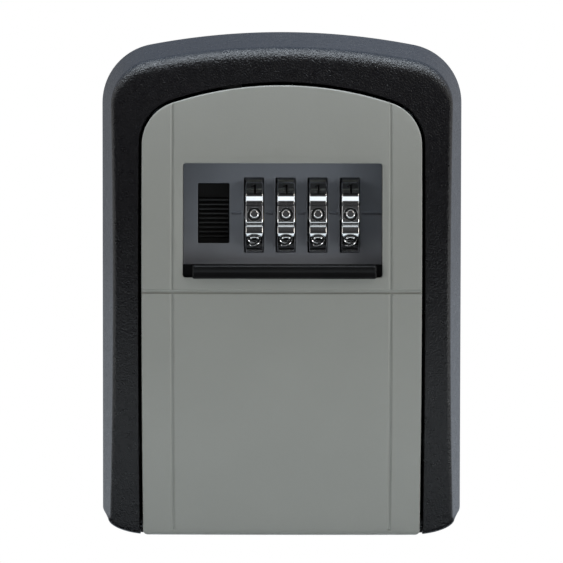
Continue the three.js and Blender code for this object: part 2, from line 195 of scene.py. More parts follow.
def arch(top_z, top_r, half_w, cr, bottom_z, br, n_top=20, n_c=18, n_b=8, zs=(), bx=None):
    """Closed arch outline (x, z) and outward normals, anticlockwise from the apex down the left side."""
    zc, cx = top_z - top_r, half_w - cr
    cz = zc + math.sqrt((top_r - cr) ** 2 - cx ** 2)
    a0 = math.atan2(cz - zc, cx)
    P, Q = [], []
    for i in range(n_top + 1):
        a = math.pi / 2 + (a0 - math.pi / 2) * i / n_top
        P.append((top_r * math.cos(a), zc + top_r * math.sin(a)))
        Q.append((math.cos(a), math.sin(a)))
    for i in range(1, n_c + 1):
        a = a0 * (1 - i / n_c)
        P.append((cx + cr * math.cos(a), cz + cr * math.sin(a)))
        Q.append((math.cos(a), math.sin(a)))
    zl = bottom_z + br
    bx = bx or br                # a corner wider than it is tall is an ellipse
    side = sorted(set([*np.linspace(cz, zl, int((cz - zl) / 2.5) + 1)[1:-1].tolist(), *zs]), reverse=True)
    side = [z for z in side if all(abs(z - q) > 0.1 or z == q for q in zs) or z in zs]
    for z in side:
        P.append((half_w, z)); Q.append((1, 0))
    for i in range(n_b + 1):
        a = -i / n_b * math.pi / 2
        P.append((half_w - bx + bx * math.cos(a), zl + br * math.sin(a)))
        q = (math.cos(a) / bx, math.sin(a) / br)
        Q.append((q[0] / math.hypot(*q), q[1] / math.hypot(*q)))
    xe = half_w - bx
    for x in np.linspace(xe, 0, int(xe / 2.5) + 1)[1:-1]:
        P.append((x, bottom_z)); Q.append((0, -1))
    P, Q = np.array(P), np.array(Q, float)
    P[0, 0] = 0; Q[0] = (0, 1)
    L = P[1:] * (-1, 1)
    LQ = Q[1:] * (-1, 1)
    mid = np.array([[0.0, bottom_z]])
    P = np.concatenate([P[:1], L, mid, P[:0:-1]])
    Q = np.concatenate([Q[:1], LQ, [[0.0, -1.0]], Q[:0:-1]])
    return P, Q


def rrect(x0, x1, z0, z1, r, n=5):
    P, Q = [], []
    for cx, cz, a0 in ((x1 - r, z1 - r, 0), (x0 + r, z1 - r, 90), (x0 + r, z0 + r, 180), (x1 - r, z0 + r, 270)):
        for i in range(n + 1):
            a = math.radians(a0 + 90 * i / n)
            P.append((cx + r * math.cos(a), cz + r * math.sin(a)))
            Q.append((math.cos(a), math.sin(a)))
    return np.array(P), np.array(Q)


def at(P, y):
    return np.column_stack([P[:, 0], np.broadcast_to(y, len(P)), P[:, 1]])


def boolean(o, cutters, op='DIFFERENCE', transfer=False, keep=False):
    for c in cutters:
        m = o.modifiers.new("b", 'BOOLEAN')
        m.operation, m.solver, m.object = op, 'EXACT', c
        if transfer:
            m.material_mode = 'TRANSFER'
        bpy.context.view_layer.update()
        dg = bpy.context.evaluated_depsgraph_get()
        me = bpy.data.meshes.new_from_object(o.evaluated_get(dg))
        o.modifiers.clear()
        old = o.data
        o.data = me
        bpy.data.meshes.remove(old)
        if not keep:
            bpy.data.objects.remove(c)
    return o


def check(o, what):
    bm = bmesh.new()
    bm.from_mesh(o.data)
    bad = [e for e in bm.edges if len(e.link_faces) != 2]
    print(what, "faces", len(bm.faces), "open edges", len(bad), [tuple(round(c * 1000, 2) for c in (e.verts[0].co + e.verts[1].co) / 2) for e in bad[:40]])
    bm.free()


def joined(objs):
    a = objs[0]
    bm = bmesh.new()
    for o in objs:
        bm.from_mesh(o.data)
    bm.to_mesh(a.data)
    bm.free()
    for o in objs[1:]:
        bpy.data.objects.remove(o)
    return a


def box(x0, x1, y0, y1, z0, z1, lock=False):
    v = [(x, y, z) for x in (x0, x1) for y in (y0, y1) for z in (z0, z1)]
    f = [(0, 1, 3, 2), (4, 6, 7, 5), (0, 4, 5, 1), (2, 3, 7, 6), (0, 2, 6, 4), (1, 5, 7, 3)]
    if lock:
        v = [tuple(L2W @ Vector(p)) for p in v]
    return clean(new_obj("cut", v, f))


def rod(axis, r, a, b, p, q, n=48, lock=False, r2=None):
    v, f = [], []
    for t, rr in ((a, r), (b, r if r2 is None else r2)):
        for i in range(n):
            c, s = p + rr * math.cos(2 * math.pi * i / n), q + rr * math.sin(2 * math.pi * i / n)
            v.append({'X': (t, c, s), 'Y': (c, t, s), 'Z': (c, s, t)}[axis])
    f = [(i, (i + 1) % n, n + (i + 1) % n, n + i) for i in range(n)] + [tuple(range(n)), tuple(range(n, 2 * n))]
    if lock:
        v = [tuple(L2W @ Vector(p_)) for p_ in v]
    return clean(new_obj("cut", v, f))


def slab(off0, off1, z0, z1, x0, x1, n=24, fn=depth):
    zz = np.linspace(z0, z1, n + 1)
    a = [(-float(fn(z, off0)), z) for z in zz] + [(-float(fn(z, off1)), z) for z in zz[::-1]]
    v = [(x, y, z) for x in (x0, x1) for y, z in a]
    m = len(a)
    f = [(i, (i + 1) % m, m + (i + 1) % m, m + i) for i in range(m)]
    for k in range(n):
        for b in (0, m):
            f.append((b + k, b + k + 1, b + m - 2 - k, b + m - 1 - k))
    return clean(new_obj("cut", v, f))


def smooth(o, angle=35.0, weighted=True):
    me = o.data
    me.polygons.foreach_set("use_smooth", [True] * len(me.polygons))
    bm = bmesh.new()
    bm.from_mesh(me)
    lim = math.radians(angle)
    for e in bm.edges:
        e.smooth = not (len(e.link_faces) != 2 or e.calc_face_angle(0) > lim)
    bm.to_mesh(me)
    bm.free()
    if weighted:
        m = o.modifiers.new("wn", 'WEIGHTED_NORMAL')
        m.keep_sharp = True
        m.weight = 80
    return o


# ------------------------------------------------------------------- materials
def mat(name, color, rough, metal=0.0, spec=0.5):
    m = bpy.data.materials.new(name)
    m.use_nodes = True
    b = m.node_tree.nodes["Principled BSDF"]
    b.inputs["Base Color"].default_value = (*color, 1)
    b.inputs["Roughness"].default_value = rough
    b.inputs["Metallic"].default_value = metal
    b.inputs["Specular IOR Level"].default_value = spec
    m.diffuse_color = (*color, 1)
    return m


def nd(m, kind, **kw):
    n = m.node_tree.nodes.new(kind)
    for k, v in kw.items():
        if k in n.inputs:
            n.inputs[k].default_value = v
        else:
            setattr(n, k, v)
    return n


def ramp(m, fac, stops):
    r = nd(m, "ShaderNodeValToRGB")
    e = r.color_ramp.elements
    while len(e) < len(stops):
        e.new(0.5)
    for el, (p, c) in zip(e, stops):
        el.position = p
        el.color = (*c, 1) if len(c) == 3 else c
    m.node_tree.links.new(fac, r.inputs[0])
    return r.outputs[0]


def texture(m, scale, detail=3.0, rough=0.55, kind="noise", coord=None):
    if coord is None:
        coord = nd(m, "ShaderNodeTexCoord").outputs["Object"]
    n = nd(m, "ShaderNodeTexNoise" if kind == "noise" else "ShaderNodeTexVoronoi")
    n.inputs["Scale"].default_value = scale
    if kind == "noise":
        n.inputs["Detail"].default_value = detail
        n.inputs["Roughness"].default_value = rough
    m.node_tree.links.new(coord, n.inputs["Vector"])
    return n.outputs["Fac"] if kind == "noise" else n.outputs["Distance"]


def bump(m, height, strength, dist, prev=None):
    b = nd(m, "ShaderNodeBump")
    b.inputs["Strength"].default_value = strength
    b.inputs["Distance"].default_value = dist
    m.node_tree.links.new(height, b.inputs["Height"])
    if prev is not None:
        m.node_tree.links.new(prev, b.inputs["Normal"])
    return b.outputs[0]


def setn(m, name, out):
    m.node_tree.links.new(out, m.node_tree.nodes["Principled BSDF"].inputs[name])


def srgb(*c):
    return tuple(((v / 255 + 0.055) / 1.055) ** 2.4 if v > 10 else v / 255 / 12.92 for v in c)


def powder(name, c0, c1, r0, r1, grain, strength, dist=0.00008, spec=0.5, lump=0.5):
    """Sprayed coat: fine orange-peel grain, faint cloudiness and slightly uneven gloss."""
    m = mat(name, c0, (r0 + r1) / 2, 0.0, spec)
    fine = texture(m, grain, 2.0)
    coarse = texture(m, grain * 0.22, 2.0)
    cloud = texture(m, 55.0, 3.0)
    setn(m, "Base Color", ramp(m, cloud, [(0.3, c0), (0.7, c1)]))
    setn(m, "Roughness", ramp(m, coarse, [(0.25, (r0,) * 3), (0.75, (r1,) * 3)]))
    setn(m, "Normal", bump(m, coarse, strength * lump, dist * 2.2, bump(m, fine, strength, dist)))
    return m


M_CASE = powder("casing_coat", (0.0064, 0.0060, 0.0074), (0.0080, 0.0075, 0.0092), 0.25, 0.35, 2500, 1.0, dist=0.00018, spec=0.40, lump=0.12)
M_DOOR = powder("door_coat", (0.394, 0.398, 0.371), (0.410, 0.414, 0.386), 0.42, 0.50, 3200, 0.18)
M_PANEL = powder("panel_coat", (0.210, 0.222, 0.250), (0.224, 0.235, 0.264), 0.38, 0.46, 3000, 0.14)


def paint_light_low_edge(m, z0, z1, k):
    """Painted light: lifts the base colour by the factor k towards the lower edge of the part, in place of light
    falling there.
    """
    sep = nd(m, "ShaderNodeSeparateXYZ")
    m.node_tree.links.new(nd(m, "ShaderNodeTexCoord").outputs["Generated"], sep.inputs[0])
    r = nd(m, "ShaderNodeMapRange", interpolation_type='SMOOTHSTEP')
    for key, v in (("From Min", z0), ("From Max", z1), ("To Min", k), ("To Max", 1.0)):
        r.inputs[key].default_value = v
    m.node_tree.links.new(sep.outputs["Z"], r.inputs["Value"])
    old = m.node_tree.nodes["Principled BSDF"].inputs["Base Color"].links[0].from_socket
    v = nd(m, "ShaderNodeVectorMath", operation='SCALE')
    m.node_tree.links.new(old, v.inputs[0])
    m.node_tree.links.new(r.outputs[0], v.inputs["Scale"])
    setn(m, "Base Color", v.outputs[0])


# painted light: the panel's base colour is brightened up to 2.1 times towards its lower edge
paint_light_low_edge(M_PANEL, 0.06, 0.42, 2.1)
M_BLACK = powder("shutter_plastic", (0.0065, 0.0064, 0.0068), (0.0085, 0.0084, 0.0088), 0.30, 0.40, 3800, 0.20, spec=0.18)
M_SLIDE = powder("slide_plastic", (0.0065, 0.0062, 0.0060), (0.009, 0.0085, 0.0082), 0.30, 0.42, 3600, 0.20)
M_BEZEL = powder("bezel_coat", (0.040, 0.041, 0.042), (0.048, 0.049, 0.050), 0.45, 0.55, 3000, 0.15)
# black print of the digits; on the digit 1 it also serves as painted shade over the rounded lip
M_INK_AND_SHADE = mat("digit_fill_and_shade", (0.004, 0.004, 0.004), 0.5)


def metal(name, c, r0, r1, scratch=(1, 1, 1), s=900.0, strength=0.08):
    m = mat(name, c, (r0 + r1) / 2, 1.0)
    t = nd(m, "ShaderNodeTexCoord").outputs["Object"]
    mp = nd(m, "ShaderNodeMapping")
    mp.inputs["Scale"].default_value = scratch
    m.node_tree.links.new(t, mp.inputs["Vector"])
    n1 = texture(m, s, 3.0, coord=mp.outputs[0])
    n2 = texture(m, 120.0, 3.0)
    dark = tuple(v * 0.86 for v in c)
    setn(m, "Base Color", ramp(m, n2, [(0.3, dark), (0.7, c)]))
    setn(m, "Roughness", ramp(m, n1, [(0.25, (r0,) * 3), (0.75, (r1,) * 3)]))
    setn(m, "Normal", bump(m, n1, strength, 0.00004))
    return m


M_CHROME = metal("dial_chrome", (0.80, 0.795, 0.80), 0.06, 0.14, s=1500, strength=0.03)
M_STEEL = metal("steel", (0.56, 0.57, 0.58), 0.24, 0.42, (1, 1, 0.12), 1400, 0.12)
M_SCREW = metal("steel_screw", (0.60, 0.60, 0.60), 0.18, 0.32, s=1100, strength=0.08)
M_ZINC = metal("cast_zinc", (0.34, 0.345, 0.355), 0.42, 0.60, s=1000, strength=0.25)
M_DARK = metal("steel_blackened", (0.030, 0.030, 0.032), 0.38, 0.52, (0.12, 1, 1), 1300, 0.10)
M_GUIDE = metal("steel_satin", (0.36, 0.365, 0.375), 0.52, 0.62, (1, 1, 0.12), 1400, 0.12)
M_BRASS = metal("brass", (0.70, 0.50, 0.21), 0.20, 0.34, (1, 0.15, 0.15), 1200, 0.08)


def piece(o, name, body, m, *nodes):
    o.name = name
    if m is not None:
        o.data.materials.clear()
        o.data.materials.append(m)
    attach(o, body)
    if nodes:
        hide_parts(*nodes)
    return o


#@@CASING
# ---------------------------------------------------------------------- casing
CP, CQ = arch(58.0, 165, 42.5, 14, -60.0, 5.2, n_top=26, n_c=22, n_b=16, bx=12.5)


def casing_section(i, inset=0.0, f_off=0.0, r_scale=1.0, back=0.0):
    """Points from the back edge, along the drafted side, round the front edge, for outline point i."""
    p, q = CP[i], CQ[i]
    up, dn = max(q[1], 0.0), max(-q[1], 0.0)
    draft = 0.1136 * q[0] ** 2 + 0.147 * up ** 2 + 0.052 * dn ** 2
    wtop = up ** 1.5
    r = (1.1 * (1 - wtop) + 5.2 * wtop + 0.5 * dn) * r_scale
    side = lambda d: p - q * (inset + draft * d)
    front = lambda s: frame_depth((p - q * s)[0], (p - q * s)[1], f_off)
    # corner where the side line meets the front surface
    lo, hi = 5.0, 36.0
    for _ in range(50):
        d = (lo + hi) / 2
        if d < front(inset + draft * d):
            lo = d
        else:
            hi = d
    dc = lo
    sc = inset + draft * dc
    slope = (front(sc + 1.0) - front(sc)) / 1.0      # rise of the front per mm inwards
    a_side = np.array([-draft, -1.0]); a_side /= np.linalg.norm(a_side)       # from the corner back along the side, (s, d)
    a_front = np.array([1.0, slope]); a_front /= np.linalg.norm(a_front)
    ang = math.acos(float(np.clip(a_side @ a_front, -1, 1)))
    t = r / math.tan(ang / 2)
    t = min(t, 8.0)
    r = t * math.tan(ang / 2)
    c0 = np.array([sc, dc])
    mid = a_side + a_front
    mid /= np.linalg.norm(mid)
    cen = c0 + mid * (r / math.sin(ang / 2))
    p0, p1 = c0 + a_side * t, c0 + a_front * t
    v0, v1 = p0 - cen, p1 - cen
    th = math.acos(float(np.clip(v0 @ v1 / (np.linalg.norm(v0) * np.linalg.norm(v1)), -1, 1)))
    out = []
    for k in range(9):
        w = k / 8
        v = (math.sin((1 - w) * th) * v0 + math.sin(w * th) * v1) / math.sin(th)
        out.append(cen + v)
    arc = np.array(out)
    db = arc[0][1]
    ds = [back] + [back + (db - back) * w for w in (0.012, 0.25, 0.5, 0.75)]
    sides = [np.array([inset + draft * d, d]) for d in ds]
    if back == 0.0:
        sides[0] = sides[0] + np.array([0.25, 0.0])
    s_end = arc[-1][0]
    ins = [np.array([s_end + e, front(s_end + e)]) for e in (0.6, 1.4)]
    sd = np.array([*sides, *arc, *ins])
    xz = p[None, :] - q[None, :] * sd[:, 0:1]
    y = -sd[:, 1].copy()
    for k in range(len(sides) + 8, len(sd)):
        y[k] = -frame_depth(xz[k, 0], xz[k, 1], f_off)
    return np.column_stack([xz[:, 0], y, xz[:, 1]])


def casing_solid(name, **kw):
    secs = np.array([casing_section(i, **kw) for i in range(len(CP))])
    loops = [secs[:, k] for k in range(secs.shape[1])]
    b = Build()
    b.loft(loops)
    last, first = loops[-1], loops[0]
    off = kw.get("f_off", 0.0)
    b.cap(last[:, [0, 2]], lambda x, z: frame_depth(x, z, off), 2.4)
    y0 = -first[0, 1]
    b.cap(first[:, [0, 2]], lambda x, z: np.full_like(x, y0), 6.0)
    return b.make(name)


casing = casing_solid("casing_body")
cavity = casing_solid("cavity", inset=2.3, f_off=3.2, r_scale=0.4, back=2.5)
legs = joined([box(32.9, 46, -40, -14, -63, -50), box(-46, -32.9, -40, -14, -63, -50)])
boolean(cavity, [legs])
# mouth: rounded front edge that follows the frame's crowned face
MP, MQ = arch(45.95, 80.5, 32.2, 10, -72, 1.0, n_top=30, n_c=22, n_b=3)
mouth_loops = []
for g, dd in ((2.2, -1.4), (1.35, -0.62), (0.98, -0.14), (0.70 + 0.16, 0.07), (0.70 + 0.04, 0.26), (0.70, 0.52)):
    P = MP + MQ * g
    mouth_loops.append(at(P, -(frame_depth(P[:, 0], np.clip(P[:, 1], -62, 99)) - dd)))
P = MP + MQ * 0.7
mouth_loops.append(at(P, -15.8))
b = Build()
b.loft(mouth_loops)
b.cap(mouth_loops[0][:, [0, 2]], lambda x, z: frame_depth(x, np.clip(z, -62, 99)) + 1.4, 5)
b.cap(mouth_loops[-1][:, [0, 2]], lambda x, z: np.full_like(x, 15.8), 8)
mouth = b.make("mouth")
boolean(casing, [cavity, mouth])
holes = [rod('X', 1.6, -36.8, 36.8, PIN_Y, PIN_Z)]
for x, z in ((-27, 36), (27, 36), (-27, -40), (27, -40)):
    holes.append(rod('Y', 2.4, -6, 2, x, z))
    holes.append(rod('Y', 4.6, -2.6, -0.4, x, z, r2=2.35))
boolean(casing, holes)
pad = box(-24.5, -7, -10.3, -1.5, 47.4, 53.0)
boolean(casing, [pad], 'UNION')
boolean(casing, [rod('Y', 1.1, -11, -5, x, 48.7, 24) for x in (-19.8, -11.8)])
clean(casing, 1e-7)
smooth(casing, 33)
piece(casing, "casing_body", "casing", M_CASE, "casing")
#@@END
#@@DOOR
# ------------------------------------------------------------------------ door
GW = 0.54                       # half width of a score line
GPROF = ((0.0, 0.55), (0.26, 0.55), (0.40, 0.24), (GW, 0.0))


HZ, HT, HD = -1.26, (-0.50, -0.38, -0.24, 0.18, 0.36, 0.54), (0.0, 0.50, 0.60, 0.52, 0.24, 0.0)


def groove_cut(t):
    t = np.abs(t)
    return np.interp(t, [0, 0.16, 0.30, GW], [0.34, 0.34, 0.16, 0.0])


def groove(x, z):
    x, z = np.asarray(x, float), np.asarray(z, float)
    ends = np.interp(z, [-57.75, -57.35, 99], [0, 1, 1])
    v = np.maximum(groove_cut(x - 25.1), groove_cut(x + 25.1)) * ends
    h = np.interp(z - HZ, HT, HD, 0.0, 0.0)
    return np.maximum(v, h)


def door_face(x, z, g=True):
    d = door_depth(x, z)
    return d - groove(x, z) if g else d


gz = [HZ + t for t in HT]
DP, DQ = arch(45.95, 80.5, 32.2, 10, -58.9, 1.1, n_top=34, n_c=26, n_b=8, zs=gz)
door_loops = []


def door_ring(g, below, fold=1.0):
    P = DP + DQ * g
    d = door_depth(P[:, 0], P[:, 1]) - below - groove(P[:, 0], P[:, 1]) * fold
    return at(P, -d)


# rounding of the lower front edge is larger than round the sides
low = np.clip((-DQ[:, 1]), 0, 1) ** 2
def edge_ring(t):
    r = 0.34 + 0.5 * low
    a = t * math.pi / 2
    P = DP - DQ * (r * (1 - math.sin(a)))[:, None]
    below = r * (1 - math.cos(a))
    d = door_depth(P[:, 0], P[:, 1]) - below - groove(P[:, 0], P[:, 1]) * (1 - 0.5 * t)
    return at(P, -d)


face_ring = edge_ring(0.0)
back_off = 7.5
loops = [edge_ring(t) for t in (0.0, 0.2, 0.4, 0.6, 0.8, 1.0)]
loops.append(at(DP, -(door_depth(DP[:, 0], DP[:, 1]) - 2.6 - low)))
back_d = np.maximum(depth(DP[:, 1], back_off), 17.6)
loops.append(at(DP, -(back_d + 0.35)))
PB = DP - DQ * 0.35
loops.append(at(PB, -np.maximum(depth(PB[:, 1], back_off), 17.6)))
# pocket behind the skin
IP, IQ = arch(45.95 - 2.0, 80.5 - 2.0, 30.2, 8.0, -50.6, 1.5, n_top=34, n_c=26, n_b=8)
b = Build()
b.loft(loops)
W0, WQ = rrect(WIN[0], WIN[1], WIN[2], WIN[3], 0.45, 5)
win = []
for g, bl in ((0.30, 0.0), (0.20, 0.02), (0.09, 0.09), (0.02, 0.20), (0.0, 0.32)):
    P = W0 + WQ * g
    win.append(at(P, -(door_depth(P[:, 0], P[:, 1]) - bl)))
win.append(at(W0, -(door_depth(W0[:, 0], W0[:, 1]) - 2.4)))
Wb = np.array([[x, z - (0.6 if z < 10 else 0.0)] for x, z in W0])
win.append(at(Wb, -(depth(Wb[:, 1], 7.05))))
lines = []
for x0 in (-25.1, 25.1):
    for t in (-GW, -0.30, -0.16, 0.16, 0.30, GW):
        lines.append(((x0 + t, -57.75), (x0 + t, 60.0)))
    lines.append(((x0 - GW, -57.35), (x0 + GW, -57.35)))
    lines.append(((x0 - GW, -57.75), (x0 + GW, -57.75)))
fr = face_ring[:, [0, 2]]
zt = lambda x: 80.5 - 0.34
clip = []
for (a, c) in lines:
    if a[0] == c[0]:
        # stop at the face outline: the height of the arch there
        x = abs(a[0])
        cc = (22.2, 32.3617)
        rr = 10 - 0.34
        top = cc[1] + math.sqrt(max(rr * rr - (x - cc[0]) ** 2, 0)) if x > cc[0] else 40
        clip.append((a, (c[0], top - 0.02)))
    else:
        clip.append((a, c))
for t in HT:
    clip.append(((-31.84, HZ + t), (31.84, HZ + t)))
b.cap(fr, door_face, 1.9, holes=[win[0][:, [0, 2]]], lines=clip)
b.loft(win)
# block round the window, then the inner skin, pocket wall and rim
B0, BQ = rrect(-26.6, 27.0, -2.0, 30.2, 1.0, 5)
blk = [at(B0, -depth(B0[:, 1], 7.05)), at(B0 + BQ * 0.5, -depth((B0 + BQ * 0.5)[:, 1], 2.0))]
b.cap(blk[0][:, [0, 2]], lambda x, z: depth(z, 7.05), 3.0, holes=[win[-1][:, [0, 2]]])
b.loft([blk[0], blk[1]])
pk = [at(IP - IQ * 0.3, -depth((IP - IQ * 0.3)[:, 1], 2.0)), at(IP, -np.maximum(depth(IP[:, 1], 7.5), 17.6))]
b.cap(pk[0][:, [0, 2]], lambda x, z: depth(z, 2.0), 3.0, holes=[blk[1][:, [0, 2]]])
b.loft(pk)
b.cap(loops[-1][:, [0, 2]], lambda x, z: np.maximum(depth(z, 7.5), 17.6), 3.0, holes=[pk[1][:, [0, 2]]])
door = b.make("door_body")
check(door, "door")
# hinge knuckle, shutter channel, guide plate pocket, pin bore and screw bosses
boolean(door, [rod('X', 2.9, -32.19, 32.19, PIN_Y, PIN_Z, 64)], 'UNION')
boolean(door, [slab(1.2, 2.55, -25.2, 29.0, -24.9, 25.3), slab(2.0, 12, -24.6, 0.6, -23.6, 24.0, 12),
               slab(3.4, 12, -26.8, 2.2, -27.2, 27.6, 12), rod('X', 1.62, -40, 40, PIN_Y, PIN_Z)])
boolean(door, [rod('Y', 2.2, 1.4, 8.1, x, z, 24, True) for x, z in HOUSE_SCREWS], 'UNION')
boolean(door, [rod('Y', 0.95, 2.6, 12, x, z, 16, True) for x, z in HOUSE_SCREWS])
boolean(door, [box(-24.4, 24.7, 6.6, 14, -13.8, 12.8, True)])
check(door, "door after booleans")
smooth(door, 33)
piece(door, "door_body", "door", M_DOOR, "door_shell")
door.data.materials.append(M_BEZEL)
me = door.data
for f_ in me.polygons:
    c_ = f_.center / MM
    if WIN[0] - 0.2 < c_.x < WIN[1] + 0.2 and WIN[2] - 0.9 < c_.z < WIN[3] + 0.2 and -c_.y < door_depth(c_.x, c_.z) - 0.45 \
            and abs(f_.normal.y) < 0.6 and -c_.y > depth(c_.z, 7.2):
        f_.material_index = 1
#@@END
#@@REST
# ------------------------------------------------------- pieces kept from the CAD
def dress(name, m, width=0.12, seg=2, angle=30):
    o = N[name]
    o.data.materials.clear()
    o.data.materials.append(m)
    o.data.polygons.foreach_set("use_smooth", [True] * len(o.data.polygons))
    wd = o.modifiers.new("weld", 'WELD')
    wd.merge_threshold = 2e-6
    if width:
        bv = o.modifiers.new("bevel", 'BEVEL')
        bv.width = width * MM
        bv.segments = seg
        bv.limit_method = 'ANGLE'
        bv.angle_limit = math.radians(angle)
        bv.harden_normals = False
    sm = o.modifiers.new("wn", 'WEIGHTED_NORMAL')
    sm.keep_sharp = False
    return o


for n, m, wd in (("lock_housing", M_ZINC, 0.2), ("lock_cover", M_STEEL, 0.15), ("shutter_guide", M_GUIDE, 0.12),
                 ("strike_plate", M_STEEL, 0.2), ("latch_bolt", M_STEEL, 0.2), ("locking_comb", M_STEEL, 0.08),
                 ("reset_lever", M_SLIDE, 0.2), ("detent_spring", M_STEEL, 0.05), ("dial_shaft", M_STEEL, 0.15),
                 ("hinge_pin", M_DARK, 0.2), ("shaft_clip_1", M_STEEL, 0.05), ("shaft_clip_2", M_STEEL, 0.05),
                 ("latch_rivet_1", M_BRASS, 0.1), ("latch_rivet_2", M_BRASS, 0.1)):
    dress(n, m, wd)
for i in range(1, 5):
    dress(f"dial_sleeve_{i}", M_BRASS, 0.08)


def coil_spring(name, base, r, wire, height, turns, seg=40, n=14):
    """Wire spring with closed end turns, standing on base along the lock's Z axis."""
    total, pitch = turns + 2, wire * 2.1
    u = np.linspace(0, total, int(total * seg) + 1)
    z = np.interp(u, [0, 1, turns + 1, total], [0, pitch, height - pitch, height])
    k = seg // 5 * 2 + 1
    z = np.convolve(np.pad(z, k // 2, 'reflect', reflect_type='odd'), np.ones(k) / k, 'valid')
    v, f = [], []
    for a, h in zip(u * 2 * math.pi, z):
        for b in np.arange(n) * 2 * math.pi / n:
            q = r + wire * math.cos(b)
            v.append(tuple(L2W @ Vector((base[0] + q * math.cos(a), base[1] + q * math.sin(a), base[2] + h + wire * math.sin(b)))))
    for i in range(len(u) - 1):
        for j in range(n):
            j2 = (j + 1) % n
            f.append((i * n + j, i * n + j2, (i + 1) * n + j2, (i + 1) * n + j))
    f += [tuple(range(n - 1, -1, -1)), tuple(range((len(u) - 1) * n, len(u) * n))]
    return clean(new_obj(name, v, f, [M_STEEL]), 1e-7)


SPRING = (-15.8, 17.6, -10.9)
coil = coil_spring("latch_spring_coil", SPRING, 1.5, 0.3, 8.4, 4)
coil.data.polygons.foreach_set("use_smooth", [True] * len(coil.data.polygons))
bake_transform(coil)
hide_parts("latch_spring")


# ----------------------------------------------------------------------- screws
def lathe(profile, n=40):
    """Closed turned body about the Y axis; profile is (r, y), starting and ending on the axis."""
    v, f = [], []
    m = len(profile)
    for r, y in profile:
        if r < 1e-9:
            v.append((0, y, 0))
        else:
            v.extend((r * math.cos(2 * math.pi * k / n), y, r * math.sin(2 * math.pi * k / n)) for k in range(n))
    idx, c = [], 0
    for r, y in profile:
        idx.append([c] if r < 1e-9 else list(range(c, c + n)))
        c += 1 if r < 1e-9 else n
    for a, b_ in zip(idx, idx[1:]):
        for k in range(n):
            j = (k + 1) % n
            if len(a) == 1:
                f.append((a[0], b_[j], b_[k]))
            elif len(b_) == 1:
                f.append((a[k], a[j], b_[0]))
            else:
                f.append((a[k], a[j], b_[j], b_[k]))
    return clean(new_obj("lathe", v, f))


def screw_mesh(rh, hh, rs, ln):
    dome = [(rh * math.sin(a), hh * (1 - math.cos(a)) * 0.62) for a in np.linspace(0, math.pi / 2, 9)]
    prof = [*dome, (rh, hh - 0.12), (rh - 0.10, hh), (rs, hh)]
    y = hh + 0.4
    while y < hh + ln - 1.2:                       # rolled thread
        prof += [(rs, y), (rs * 0.80, y + 0.14), (rs, y + 0.28)]
        y += 0.36
    prof += [(rs * 0.9, hh + ln - 0.8), (rs * 0.45, hh + ln), (0, hh + ln)]
    o = lathe(prof, 36)
    cut = []
    c, wq = rh * 0.56, rh * 0.13
    for k in range(2):
        v = []
        for yy, s in ((-1.0, 1.15), (hh * 0.72, 0.55)):
            for sx, sz in ((-1, -1), (1, -1), (1, 1), (-1, 1)):
                p = (sx * c * s, yy, sz * wq)
                v.append(p if k == 0 else (p[2], p[1], p[0]))
        cut.append(clean(new_obj("cut", v, [(0, 1, 2, 3), (4, 5, 6, 7), (0, 1, 5, 4), (1, 2, 6, 5), (2, 3, 7, 6), (3, 0, 4, 7)])))
    boolean(o, cut)
    return smooth(o, 40)


def place_screw(name, body, size, loc, lock=False, flip=False, turn=0.0):
    o = screw_mesh(*size)
    mtx = Matrix.Translation(loc) @ (Matrix.Rotation(math.pi, 4, 'Z') if flip else Matrix.Identity(4)) @ Matrix.Rotation(turn, 4, 'Y')
    if lock:
        mtx = L2W @ mtx
    mtx.translation *= MM
    o.data.transform(mtx)
    piece(o, name + "_head", body, M_SCREW, name)


for i, x in ((1, -19.8), (2, -11.8)):
    place_screw(f"strike_screw_{i}", "casing", (1.8, 1.2, 1.0, 5.4), (x, -12.2 - 1.5, 48.7), turn=0.5 * i)
for i, (x, z) in enumerate(GUIDE_SCREWS):
    place_screw(f"guide_screw_{i + 1}", "door", (1.5, 0.9, 0.8, 2.6), (x, -float(depth(z)) + 5.95, z), flip=True, turn=0.7 * i)
for i, (x, z) in enumerate(COVER_SCREWS):
    place_screw(f"cover_screw_{i + 1}", "door", (1.9, 1.1, 0.8, 5.2), (x, 24.4 + 1.7 + 1.1, z), True, True, 0.9 * i + 0.3)
for i, (x, z) in enumerate(HOUSE_SCREWS):
    place_screw(f"housing_screw_{i + 1}", "door", (2.0, 1.2, 0.8, 6.6), (x, 8.4 + 1.9 + 1.2, z), True, True, 1.3 * i)
#@@END
#@@LOCK
# ------------------------------------------------- recess panel, slide, shutter
def lock_plate(name, outer, holes, y_face, y_back, rnd, lines=(), fn=None):
    """Flat plate in the lock frame: outer and holes are (points, normals); front edges of the holes are rounded."""
    b = Build()
    P, Q = outer
    fn = fn or (lambda x, z: np.zeros_like(x))
    front_rings = []
    for (hp, hq), sgn in [((P, Q), -1)] + [(h, 1) for h in holes]:
        loops = []
        for t in (0.0, 0.25, 0.5, 0.75, 1.0):
            a = t * math.pi / 2
            g = hp + hq * (rnd * (1 - math.sin(a)) * sgn)
            yy = y_face + rnd * (1 - math.cos(a)) + fn(g[:, 0], g[:, 1]) * (1 - t)
            loops.append(np.column_stack([g[:, 0], yy, g[:, 1]]))
        loops.append(np.column_stack([hp[:, 0], np.full(len(hp), y_back), hp[:, 1]]))
        b.loft(loops)
        front_rings.append((loops[0][:, [0, 2]], loops[-1][:, [0, 2]]))
    b.cap(front_rings[0][0], lambda x, z: -(y_face + fn(x, z)), 1.6, holes=[r[0] for r in front_rings[1:]], lines=lines, line_step=0.3)
    b.cap(front_rings[0][1], lambda x, z: np.full_like(x, -y_back), 3.0, holes=[r[1] for r in front_rings[1:]])
    o = b.make(name)
    o.data.transform(Matrix.Translation((0, LOCK_Y * MM, LOCK_Z * MM)) @ Matrix.Rotation(-TILT, 4, 'X'))
    return o


def index_line(x, z):
    return np.interp(np.abs(z - 0.50), [0, 0.06, 0.40], [0.42, 0.40, 0.0])


